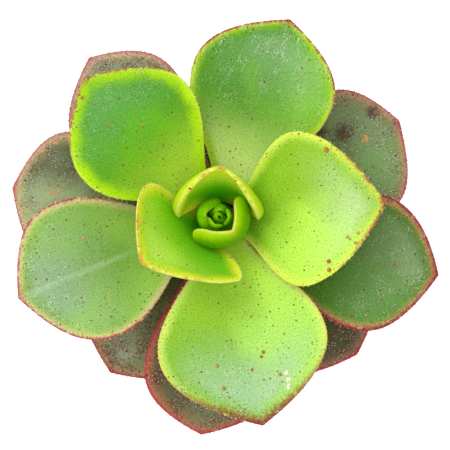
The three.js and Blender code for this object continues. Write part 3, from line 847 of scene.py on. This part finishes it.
# %% [markdown]
# A few marks can be told apart in the photograph, and they make this plant the one it is: amber beads
# of sap on six leaves, corky scars on two old leaves, pale painted glints of light on full_leaf_4, kept
# with the scars, and bruises on one old leaf. They are placed in the leaf's own measures: t from base
# to tip, v from the right edge, -1, to the left edge, +1, and the mark's radius in mm.

# %% Marks on single leaves
BEADS = {
    "full_leaf_6": [(0.69, 0.86, 0.9), (0.77, -0.57, 0.65), (0.83, -0.65, 0.6), (0.66, -0.78, 0.75),
                    (0.66, -0.91, 0.8), (0.82, -0.86, 0.5), (0.81, -0.8, 0.45)],
    "full_leaf_4": [(0.66, 0.19, 0.6), (0.68, 0.16, 0.55), (0.78, 0.41, 0.6), (0.68, -0.38, 0.65),
                    (0.79, -0.44, 0.7), (0.73, 0.01, 0.5), (0.61, -0.62, 0.45)],
    "full_leaf_5": [(0.93, 0.6, 0.6), (0.23, 0.28, 0.4), (0.6, -0.11, 0.4), (0.73, 0.23, 0.4)],
    "full_leaf_2": [(0.6, -0.42, 0.6), (0.61, 0.41, 0.5), (0.57, 0.36, 0.45)],
    "full_leaf_1": [(0.79, -0.04, 0.65), (0.72, -0.78, 0.5)],
    "young_leaf_1": [(0.8, -0.65, 0.5)],
}
# full_leaf_4's marks are painted glints, pale patches where its blade catches the light; the old leaves'
# marks are corky scars.
SCARS_AND_GLINTS = {
    "old_leaf_5": [(0.79, 0.0, 2.2), (0.9, 0.52, 1.6)],
    "full_leaf_4": [(0.84, 0.6, 1.7), (0.78, 0.5, 1.4), (0.81, 0.56, 1.4), (0.7, -0.36, 0.9)],
    "old_leaf_4": [(0.78, 0.0, 2.2), (0.8, -0.86, 1.6), (0.86, -0.84, 1.9), (0.73, -0.88, 1.5)],
}
BRUISES = {
    "old_leaf_5": [(0.7, 0.26, 6.0), (0.89, 0.52, 4.0), (0.6, 0.45, 4.0)],
}
# full_leaf_4's pale colour is that of its painted glints; old_leaf_4's is a corky scar's.
SCAR_AND_GLINT_COLOURS = {"full_leaf_4": "F2F4D8", "old_leaf_4": "D09C78"}


def mark_strength(row, marks, v_width, length_mm):
    """1 at a mark's middle, falling to 0 at its radius, from flat distances on the blade."""
    total = np.zeros(v_width.shape)
    for t, v, radius in marks:
        side = row["left"] if v > 0 else row["right"]
        x = v * side_width(row, side, np.array(t))
        gap = np.hypot(v_width - x, length_mm - t * row["length"])
        total = np.maximum(total, np.clip(1 - gap / radius, 0, 1))
    return total


print(sum(len(beads) for beads in BEADS.values()), "beads of sap")

# %% [markdown]
# Now every row of the list becomes one mesh: the blade, its hairs and its drops of sap, each with
# their own material slot. It could be three objects, but hairs belong to their leaf and have to move
# with it, so one mesh is simpler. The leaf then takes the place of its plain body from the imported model.

# %% Make the leaves
# Which hairs each kind of leaf has, and their length and radius in mm.
HAIRS_OF = {"old": ("red", 0.42, 0.15), "full": ("mixed", 0.5, 0.15), "young": ("pale", 0.4, 0.14),
            "bud": ("pale", 0.15, 0.08)}
# The growing point: the last tiny leaves, which sit inside the youngest leaf and share its piece.
GROWING_POINT = [
    leaf("point_1", 200, 9.8, 3.0, (75, 98, 110), cup=(70, 130, 80), neck=0.6,
         left=(1, 0.5, 2), right=(1, 0.5, 2), start=1.2, thickness=1.3, edge_thinning=0.2),
    leaf("point_2", 60, 9.2, 2.4, (80, 95, 105), cup=(60, 110, 70), neck=0.6,
         left=(1, 0.5, 2), right=(1, 0.5, 2), start=0.8, thickness=1.2, edge_thinning=0.2),
    leaf("point_3", 350, 11, 3.6, (82, 92, 100), cup=(50, 75, 60), neck=0.6,
         left=(1, 0.5, 2.4), right=(1, 0.5, 2.4), start=3.3, thickness=1.4, edge_thinning=0.2),
    leaf("point_4", 240, 10.5, 3.4, (82, 92, 100), cup=(50, 75, 60), neck=0.6,
         left=(1, 0.5, 2.4), right=(1, 0.5, 2.4), start=3.3, thickness=1.4, edge_thinning=0.2),
]
draw = np.random.default_rng(7)


def distance_to_edge(points, row, base):
    """Distance in mm from each point to the nearest of a string of points along the leaf's edge."""
    line = np.vstack([edge_line(row, base, side, 0.02)[0][::8] for side in (1, -1)])
    return np.sqrt(((points[:, None] - line[None]) ** 2).sum(-1)).min(1)


def blade_part(row, base):
    """The closed blade of one leaf, on a finer grid if it is long, with every fact its skin reads."""
    stations, columns = (84, 65) if row["length"] > 35 else (56, 45)
    points, faces, (t, v, width, under) = leaf_body(row, base, stations, columns)
    name, across, length = row["name"], v * width, t * row["length"]
    facts = {
        "edge": distance_to_edge(points, row, base), "along": t, "across": across, "length": length,
        # scar carries the corky scars and, on full_leaf_4, its painted glints.
        "under": under, "scar": mark_strength(row, SCARS_AND_GLINTS.get(name, []), across, length),
        "bruise": mark_strength(row, BRUISES.get(name, []), across, length),
    }
    return points, faces, facts, 0


def grown_leaf(index, row):
    """One leaf with its hairs and beads in one mesh: skin, hair and sap are its three slots."""
    name = row["name"]
    kind = name.split("_")[0]
    base = base_of(index, row)
    hair_kind, hair_length, hair_radius = HAIRS_OF[kind]
    parts = [blade_part(row, base), (*edge_hairs(row, base, hair_length, hair_radius, draw), {}, 1)]
    if name in BEADS:
        parts.append((*beads_on(row, base, BEADS[name]), {}, 2))
    if name == LEAVES[-1]["name"]:
        parts += [blade_part(tiny, base_of(index + k + 1, tiny)) for k, tiny in enumerate(GROWING_POINT)]
    joined_points, joined_faces, facts, slots = joined(parts)
    blade = mesh_object(name + "_blade", joined_points, joined_faces, facts, slots)
    look = dict(LOOKS[name], seed=7.3 * index)
    if name in SCAR_AND_GLINT_COLOURS:
        look["scar_and_glint_colour"] = SCAR_AND_GLINT_COLOURS[name]
    for material in (leaf_skin(name + "_skin", look), HAIRS[hair_kind], SAP):
        blade.data.materials.append(material)
    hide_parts(name)
    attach(blade, "root")
    return len(joined_faces)


made_faces = sum(grown_leaf(index, row) for index, row in enumerate(LEAVES))
print("leaves made with", made_faces, "faces")

# %% [markdown]
# The photograph doesn't show the pot, so it is the plain clay flower pot that such a plant is sold
# in, finished as carefully as the rest: a profile turned about the axis, with small rounds at its
# edges. Turning it here in fine steps keeps its outline smooth in close views.

# %% Turned bodies
def rounded(corners, steps=5):
    """A closed profile with each corner (radius, height, round) replaced by a short curve."""
    corners = np.array(corners, float)
    out = []
    for before, here, after in zip(np.roll(corners, 1, 0), corners, np.roll(corners, -1, 0)):
        first = here[:2] + (before[:2] - here[:2]) / np.linalg.norm(before[:2] - here[:2]) * here[2]
        last = here[:2] + (after[:2] - here[:2]) / np.linalg.norm(after[:2] - here[:2]) * here[2]
        s = np.linspace(0, 1, steps)[:, None]
        out.append((1 - s) ** 2 * first + 2 * s * (1 - s) * here[:2] + s * s * last)
    return np.vstack(out)


def turned(profile, sides):
    """A closed profile of (radius, height) carried round +Z: x = r cos a, y = r sin a."""
    around = np.linspace(0, 2 * np.pi, sides, endpoint=False)
    r, z = profile[:, 0], profile[:, 1]
    points = np.stack([np.outer(np.cos(around), r), np.outer(np.sin(around), r), np.tile(z, (sides, 1))], -1)
    n = len(profile)
    i, k = np.meshgrid(np.arange(sides), np.arange(n), indexing="ij")
    j, m = (i + 1) % sides, (k + 1) % n
    faces = np.stack([i * n + k, j * n + k, j * n + m, i * n + m], -1)
    return points.reshape(-1, 3), faces.reshape(-1, 4)


def stacked(radii, heights, sides):
    """Rings of one radius per height and side, one above another, closed by a pole at either end."""
    around = np.linspace(0, 2 * np.pi, sides, endpoint=False)
    rings = np.stack([radii * np.cos(around), radii * np.sin(around), heights], -1)
    low = [[0, 0, heights[0].mean()]]
    high = [[0, 0, heights[-1].mean()]]
    points = np.vstack([low, rings.reshape(-1, 3), high])
    k = np.arange(sides)
    after = (k + 1) % sides
    last = 1 + (len(radii) - 1) * sides
    start = np.stack([0 * k, 1 + after, 1 + k], -1)
    end = np.stack([last + k, last + after, 0 * k + len(points) - 1], -1)
    i = 1 + (np.arange(len(radii) - 1) * sides)[:, None]
    walls = np.stack([i + k, i + after, i + sides + after, i + sides + k], -1).reshape(-1, 4)
    return points, [*start.tolist(), *walls.tolist(), *end.tolist()]


print("a turned ring of 8 sides has", len(stacked(np.ones((2, 8)), np.ones((2, 8)), 8)[1]), "faces")

# %% [markdown]
# Unglazed clay is dry to the eye: no gloss, a fine grit, faint rings from the wheel, and pale bloom
# where salts from the water have dried, near the foot and on the collar. It follows the pot's own
# Object coordinates, so the grit is the same size all over.

# %% Fired clay
CLAY_IOR = 1.5


def fired_clay(name):
    """Unglazed earthenware, thrown on a wheel and fired: matte and finely gritty.

    Scale is lumps per metre: clouds are 22 mm wide, salt crusts 8 mm, the wheel's rings 2 mm and the
    grit 0.7 mm, which is coarser than real grit, or it wouldn't show.
    """
    clay, tree = blank_material(name)
    where = node(tree, "TexCoord", out=3)
    height = node(tree, "SeparateXYZ", {0: where}, out=2)
    clouds = node(tree, "TexNoise", {"Vector": where, "Scale": 45.0, "Detail": 5.0})
    grit = node(tree, "TexNoise", {"Vector": where, "Scale": 1400.0, "Detail": 2.0})
    squashed = node(tree, "VectorMath", {0: where, 1: (0.05, 0.05, 1.0)}, operation="MULTIPLY")
    rings = node(tree, "TexNoise", {"Vector": squashed, "Scale": 500.0, "Detail": 2.0})
    tone = node(tree, "MapRange", {"Value": clouds, "From Min": 0.35, "From Max": 0.65})
    colour = node(tree, "Mix", {0: tone, 6: pigment("B8704A"), 7: pigment("CC8258")}, **COLOURS)
    low = node(tree, "MapRange", {"Value": height, "From Min": 0.0, "From Max": 0.03,
                                  "To Min": 0.5, "To Max": 0.0}, **SOFT)
    high = node(tree, "MapRange", {"Value": height, "From Min": 0.055, "From Max": 0.084,
                                   "To Min": 0.0, "To Max": 0.55}, **SOFT)
    salt = node(tree, "Math", {0: low, 1: high}, operation="ADD")
    crust = node(tree, "TexNoise", {"Vector": where, "Scale": 130.0, "Detail": 6.0})
    crust = node(tree, "MapRange", {"Value": crust, "From Min": 0.45, "From Max": 0.68})
    salt = node(tree, "Math", {0: salt, 1: crust}, operation="MULTIPLY", use_clamp=True)
    colour = node(tree, "Mix", {0: salt, 6: colour, 7: pigment("EAD8C8")}, **COLOURS)
    speck = node(tree, "MapRange", {"Value": grit, "From Min": 0.62, "From Max": 0.7, "To Max": 0.35})
    colour = node(tree, "Mix", {0: speck, 6: colour, 7: pigment("7A4428")}, **COLOURS)
    relief = node(tree, "Math", {0: rings, 1: 2.0, 2: grit}, operation="MULTIPLY_ADD")
    bump = node(tree, "Bump", {"Strength": 0.5, "Distance": 0.2 * MM, "Height": relief})
    surface = node(tree, "BsdfPrincipled", {
        "Base Color": colour, "Roughness": 0.85, "IOR": CLAY_IOR, "Specular IOR Level": 0.3,
        "Normal": bump,
    })
    node(tree, "OutputMaterial", {"Surface": surface})
    return clay


print("clay bends light by", CLAY_IOR)

# %% [markdown]
# A thrown flower pot is round, so half of its section says everything: foot, wall, collar, lip, inner
# wall, floor and drain hole. The section could be spun with a Screw modifier. Here the corners are
# first rounded by small arcs, as wet clay under a potter's sponge, and then turned in one step.

# %% Pot
POT_HEIGHT = 84
POT_RIM = 47
POT_COLLAR = 19
POT_STEP = 3
POT_FOOT = 31.5
POT_WALL = 4
POT_FLOOR = 6
DRAIN_RADIUS = 6
POT_SIDES = 160


def wall_radius(z):
    """Outside radius of the tapered wall at height z."""
    return POT_FOOT + (POT_RIM - POT_STEP - POT_FOOT) * z / POT_HEIGHT


collar_low = POT_HEIGHT - POT_COLLAR
pot_corners = [
    (DRAIN_RADIUS, 0, 0.6), (POT_FOOT, 0, 1.2), (wall_radius(collar_low), collar_low, 0.6),
    (POT_RIM, collar_low, 1.2), (POT_RIM, POT_HEIGHT, 1.4),
    (wall_radius(POT_HEIGHT) - POT_WALL, POT_HEIGHT, 1.4),
    (wall_radius(POT_FLOOR) - POT_WALL, POT_FLOOR, 2.0), (DRAIN_RADIUS, POT_FLOOR, 0.6),
]
pot_points, pot_faces = turned(rounded(pot_corners), POT_SIDES)
pot = mesh_object("clay_pot", pot_points, pot_faces)
pot.data.materials.append(fired_clay("fired_earthenware"))
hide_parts("pot")
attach(pot, "root")
print("pot made with", len(pot_faces), "faces")

# %% [markdown]
# Soil for succulents is dark and gritty. Its top is a grid of rings, raised a little towards the stem
# and roughened by lumps of three sizes. Small stones and white perlite lie half sunk in it. Scattered
# copies of one stone would look alike, so every stone is a small body with its own uneven corners.

# %% Soil and stone materials
def rough_mineral(name, dark, light, damp, crumb_scale, bump_depth):
    """Soil or stone, broken and dry: no gloss, colour that changes from crumb to crumb.

    crumb_scale is crumbs per metre, so 400 gives crumbs of 2.5 mm. bump_depth is in mm.
    """
    mineral, tree = blank_material(name)
    where = node(tree, "TexCoord", out=3)
    crumbs = node(tree, "TexNoise", {"Vector": where, "Scale": crumb_scale, "Detail": 6.0})
    patches = node(tree, "TexNoise", {"Vector": where, "Scale": 60.0, "Detail": 3.0})
    tone = node(tree, "MapRange", {"Value": crumbs, "From Min": 0.35, "From Max": 0.68})
    colour = node(tree, "Mix", {0: tone, 6: pigment(dark), 7: pigment(light)}, **COLOURS)
    wet = node(tree, "MapRange", {"Value": patches, "From Min": 0.4, "From Max": 0.6, "To Max": 0.5})
    colour = node(tree, "Mix", {0: wet, 6: colour, 7: pigment(damp)}, **COLOURS)
    bump = node(tree, "Bump", {"Strength": 0.8, "Distance": bump_depth * MM, "Height": crumbs})
    surface = node(tree, "BsdfPrincipled", {
        "Base Color": colour, "Roughness": 0.95, "Specular IOR Level": 0.2, "Normal": bump,
    })
    node(tree, "OutputMaterial", {"Surface": surface})
    return mineral


SOIL_SKINS = [
    rough_mineral("gritty_potting_soil", "1E1610", "5E4836", "2A2018", 400.0, 0.8),
    rough_mineral("crushed_grit", "6E6252", "A89A84", "8A7A66", 700.0, 0.3),
    rough_mineral("white_perlite", "DAD6CC", "F6F4EE", "ECE8E0", 900.0, 0.3),
]
print(len(SOIL_SKINS), "minerals")

# %% [markdown]
# The soil is one body that fills the pot and leaves a socket for the stem, with its stones in the same
# mesh. A particle system would scatter stones too, but then they would be hard to keep in one piece
# with the soil. Here their places are drawn at random with a fixed seed, so they never change.

# %% Soil with its stones
SOIL_EDGE = POT_HEIGHT - 8
SOIL_SETTLED = 0.8
SOIL_MOUND = 3
SOCKET = 8.3
STEM_FOOT = SOIL_EDGE + SOIL_MOUND - 12
GAP = 0.3
SOIL_SIDES = 120
STONE_RINGS = ((-0.7, 0.75), (0.1, 1.0), (0.7, 0.7))


def soil_level(x, y):
    """Height of the soil's top: a mound towards the stem, with lumps of 14, 5 and 2 mm."""
    reach = (soil_radius(SOIL_EDGE) - np.hypot(x, y)) / (soil_radius(SOIL_EDGE) - SOCKET)
    mound = SOIL_MOUND * 0.9 * np.sin(np.pi / 2 * np.clip(reach, 0, 1))
    lumps = 0.7 * waves(x, y, 14, 1) + 0.5 * waves(x, y, 5, 2) + 0.35 * waves(x, y, 2.2, 3)
    return SOIL_EDGE - SOIL_SETTLED + mound + lumps * smooth(reach, 0, 0.06) * smooth(1 - reach, 0, 0.05)


def soil_radius(z):
    """Radius of the soil at height z, a gap inside the pot's wall."""
    return wall_radius(z) - POT_WALL - GAP


def soil_body():
    """Rings over the bottom, up the side, over the lumpy top and down the socket of the stem."""
    bottom = POT_FLOOR + GAP
    side = np.linspace(bottom, SOIL_EDGE - SOIL_SETTLED, 6)
    top = np.linspace(soil_radius(SOIL_EDGE), SOCKET, 34)
    radii = np.concatenate([soil_radius(side), top, [SOCKET]])
    radii = np.repeat(radii[:, None], SOIL_SIDES, 1)
    around = np.linspace(0, 2 * np.pi, SOIL_SIDES, endpoint=False)
    heights = np.repeat(np.concatenate([side, top * 0, [STEM_FOOT - GAP]])[:, None], SOIL_SIDES, 1)
    flat = slice(len(side), len(side) + len(top))
    heights[flat] = soil_level(radii[flat] * np.cos(around), radii[flat] * np.sin(around))
    return (*stacked(radii, heights, SOIL_SIDES), {}, 0)


def stones(count, small, large, slot, draw):
    """Stones of small to large radius, half sunk, each corner moved a little to make it uneven."""
    radius = draw.uniform(small, large, count)
    r = np.sqrt(draw.uniform((SOCKET + 2) ** 2, (soil_radius(SOIL_EDGE) - large - 0.5) ** 2, count))
    turn = draw.uniform(0, 2 * np.pi, count)
    x, y = r * np.cos(turn), r * np.sin(turn)
    out = draw.normal(0, 0.5, (count, 3)) + [0, 0, 1.5]
    out /= np.linalg.norm(out, axis=1)[:, None]
    points, faces = small_bodies(np.stack([x, y, soil_level(x, y)], -1), out, radius * 0.8, radius,
                                 STONE_RINGS, 7)
    size = np.repeat(radius, len(points) // count)[:, None]
    return points + draw.uniform(-0.16, 0.16, points.shape) * size, faces, {}, slot


scatter = np.random.default_rng(11)
soil_parts = [soil_body(), stones(260, 0.7, 1.9, 1, scatter), stones(80, 0.8, 1.6, 2, scatter)]
soil_points, soil_faces, _, soil_slots = joined(soil_parts)
soil = mesh_object("soil_bed", soil_points, soil_faces, {}, soil_slots)
for skin in SOIL_SKINS:
    soil.data.materials.append(skin)
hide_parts("soil")
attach(soil, "root")
print("soil made with", len(soil_faces), "faces")

# %% [markdown]
# The stem is young wood. Wherever an old leaf has dropped, it leaves a scar like a flat crescent, and
# the scars climb in a spiral, each 137.5 degrees on from the last. Above the lowest leaf the stem
# turns green, and it ends in the tip from which the youngest leaves grow.

# %% Stem
# The stem's radius at each height, in mm.
STEM_RADII = {67: 8, 79: 8, 91: 5, 107: 5, 114: 4.4, 118: 3.2, 120.5: 1.6}
STEM_STRAIGHT_FROM = 91
GOLDEN_ANGLE = 137.5
# The scars: how many, the lowest one's height, the rise from one to the next, and their size, in mm.
SCAR_COUNT = 10
LOWEST_SCAR = 81
SCAR_PITCH = 1.5
SCAR_WIDTH = 2.8
SCAR_HEIGHT = 1.1
STEM_COLUMNS = 96


def leaf_scars(turn, z, radius):
    """Height of the scars at each place: a raised lip round a shallow crescent, in a spiral."""
    total = np.zeros(z.shape)
    for k in range(SCAR_COUNT):
        away = (turn - np.radians(GOLDEN_ANGLE) * k + np.pi) % (2 * np.pi) - np.pi
        level = z - (LOWEST_SCAR + SCAR_PITCH * k) + 0.12 * (away * radius) ** 2 / SCAR_WIDTH
        size = (away * radius / SCAR_WIDTH) ** 2 + (level / SCAR_HEIGHT) ** 2
        total = total + 0.45 * np.exp(-(size - 1) ** 2 / 0.25) - 0.3 * np.exp(-size / 0.3)
    return total


def bark_and_tip(name):
    """Young wood, grown: brown bark with fine cracks and pale scars, turning green at the top.

    Scale is lumps per metre: cracks are 1 mm wide and four times as tall, blotches 6 mm wide.
    """
    bark, tree = blank_material(name)
    where = node(tree, "TexCoord", out=3)
    height = node(tree, "SeparateXYZ", {0: where}, out=2)
    tall = node(tree, "VectorMath", {0: where, 1: (1.0, 1.0, 0.25)}, operation="MULTIPLY")
    cracks = node(tree, "TexNoise", {"Vector": tall, "Scale": 900.0, "Detail": 4.0})
    blotches = node(tree, "TexNoise", {"Vector": where, "Scale": 180.0, "Detail": 3.0})
    tone = node(tree, "MapRange", {"Value": blotches, "From Min": 0.35, "From Max": 0.65})
    colour = node(tree, "Mix", {0: tone, 6: pigment("5E4A32"), 7: pigment("93805E")}, **COLOURS)
    scar = node(tree, "Attribute", attribute_name="scar", out=2)
    lip = node(tree, "MapRange", {"Value": scar, "From Min": 0.1, "From Max": 0.4, "To Max": 0.7})
    colour = node(tree, "Mix", {0: lip, 6: colour, 7: pigment("B8A684")}, **COLOURS)
    dark = node(tree, "MapRange", {"Value": cracks, "From Min": 0.35, "From Max": 0.5,
                                   "To Min": 0.6, "To Max": 0.0})
    colour = node(tree, "Mix", {0: dark, 6: colour, 7: pigment("3A2C1E")}, **COLOURS)
    green = node(tree, "MapRange", {"Value": height, "From Min": 0.096, "From Max": 0.108}, **SOFT)
    tip = node(tree, "Mix", {0: tone, 6: pigment("347400"), 7: pigment("4C9008")}, **COLOURS)
    colour = node(tree, "Mix", {0: green, 6: colour, 7: tip}, **COLOURS)
    bump = node(tree, "Bump", {"Strength": 0.6, "Distance": 0.3 * MM, "Height": cracks})
    surface = node(tree, "BsdfPrincipled", {
        "Base Color": colour, "Roughness": 0.75, "Specular IOR Level": 0.3, "Normal": bump,
    })
    node(tree, "OutputMaterial", {"Surface": surface})
    return bark


heights = np.linspace(min(STEM_RADII), max(STEM_RADII), 150)
radii = np.interp(heights, list(STEM_RADII), list(STEM_RADII.values()))
turn = np.linspace(0, 2 * np.pi, STEM_COLUMNS, endpoint=False)
grid_z = np.repeat(heights[:, None], STEM_COLUMNS, 1)
grid_r = np.repeat(radii[:, None], STEM_COLUMNS, 1)
scar = leaf_scars(np.repeat(turn[None], len(heights), 0), grid_z, grid_r)
bare = smooth(grid_z, 79.5, 81) * smooth(-grid_z, -97, -94)
relief = bare * (0.5 * scar + 0.18 * waves(grid_r * turn, grid_z * 0.3, 2.5, 5)) - 0.35 * bare
stem_points, stem_faces = stacked(grid_r + relief, grid_z, STEM_COLUMNS)
lean = smooth(stem_points[:, 2:], SOIL_EDGE + SOIL_MOUND, STEM_STRAIGHT_FROM)
stem_points[:, :2] += STEM_AXIS * lean
stem = mesh_object("woody_stem", stem_points, stem_faces,
                   {"scar": np.concatenate([[0], (scar * bare).ravel(), [0]])})
stem.data.materials.append(bark_and_tip("young_bark"))
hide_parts("stem")
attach(stem, "root")
print("stem made with", len(stem_faces), "faces")

# %% [markdown]
# The plant stands on plain white paper, a flat sheet far wider than the view. In the photograph the
# ground is pure white round the plant. Paper in the plant's own shade would come out grey, so this
# sheet glows a little, as on a light table.

# %% Floor and paper
# Half the sheet's width, in mm.
FLOOR_HALF = 1500
corners = [(-FLOOR_HALF, -FLOOR_HALF, 0), (FLOOR_HALF, -FLOOR_HALF, 0),
           (FLOOR_HALF, FLOOR_HALF, 0), (-FLOOR_HALF, FLOOR_HALF, 0)]
floor = mesh_object("studio_floor", corners, [(0, 1, 2, 3)])
paper, paper_tree = blank_material("white_paper")
sheet = node(paper_tree, "BsdfPrincipled", {
    "Base Color": linear("FAFAF8"), "Roughness": 0.9, "Emission Color": linear("FFFFFF"),
    "Emission Strength": 0.3,
})
node(paper_tree, "OutputMaterial", {"Surface": sheet})
floor.data.materials.append(paper)
print("floor is", 2 * FLOOR_HALF, "mm wide")

# %% [markdown]
# Soft boxes are area lights: large ones give soft shadows, as in the photograph, where no leaf throws
# a hard edge on the next. In the photograph the leaves are brightest where they face the upper left,
# so the key light hangs there, at half past ten seen from above, and a weaker one is overhead. Most
# of the light comes evenly from the white surround, which keeps the heart of the rosette bright.

# %% Lights and surround
def soft_box(name, place, size, watts):
    """A square area light at place (mm) that faces the rosette."""
    lamp = bpy.data.lights.new(name, "AREA")
    lamp.shape = "SQUARE"
    lamp.size = size * MM
    lamp.energy = watts
    made = bpy.data.objects.new(name, lamp)
    made.location = Vector(place) * MM
    made.rotation_euler = (Vector(place) - Vector((0, 0, LEAF_HEIGHT))).to_track_quat("Z", "Y").to_euler()
    scene.collection.objects.link(made)


soft_box("key_soft_box", (-420, 400, 760), 460, 3.6)
soft_box("overhead_soft_box", (60, -60, 960), 520, 1.5)
surround = bpy.data.worlds.new("studio")
surround.use_nodes = True
surround.node_tree.nodes["Background"].inputs["Color"].default_value = linear("FFFFFF")
surround.node_tree.nodes["Background"].inputs["Strength"].default_value = 0.84
scene.world = surround
scene.view_settings.view_transform = "Standard"
print("lights ready")
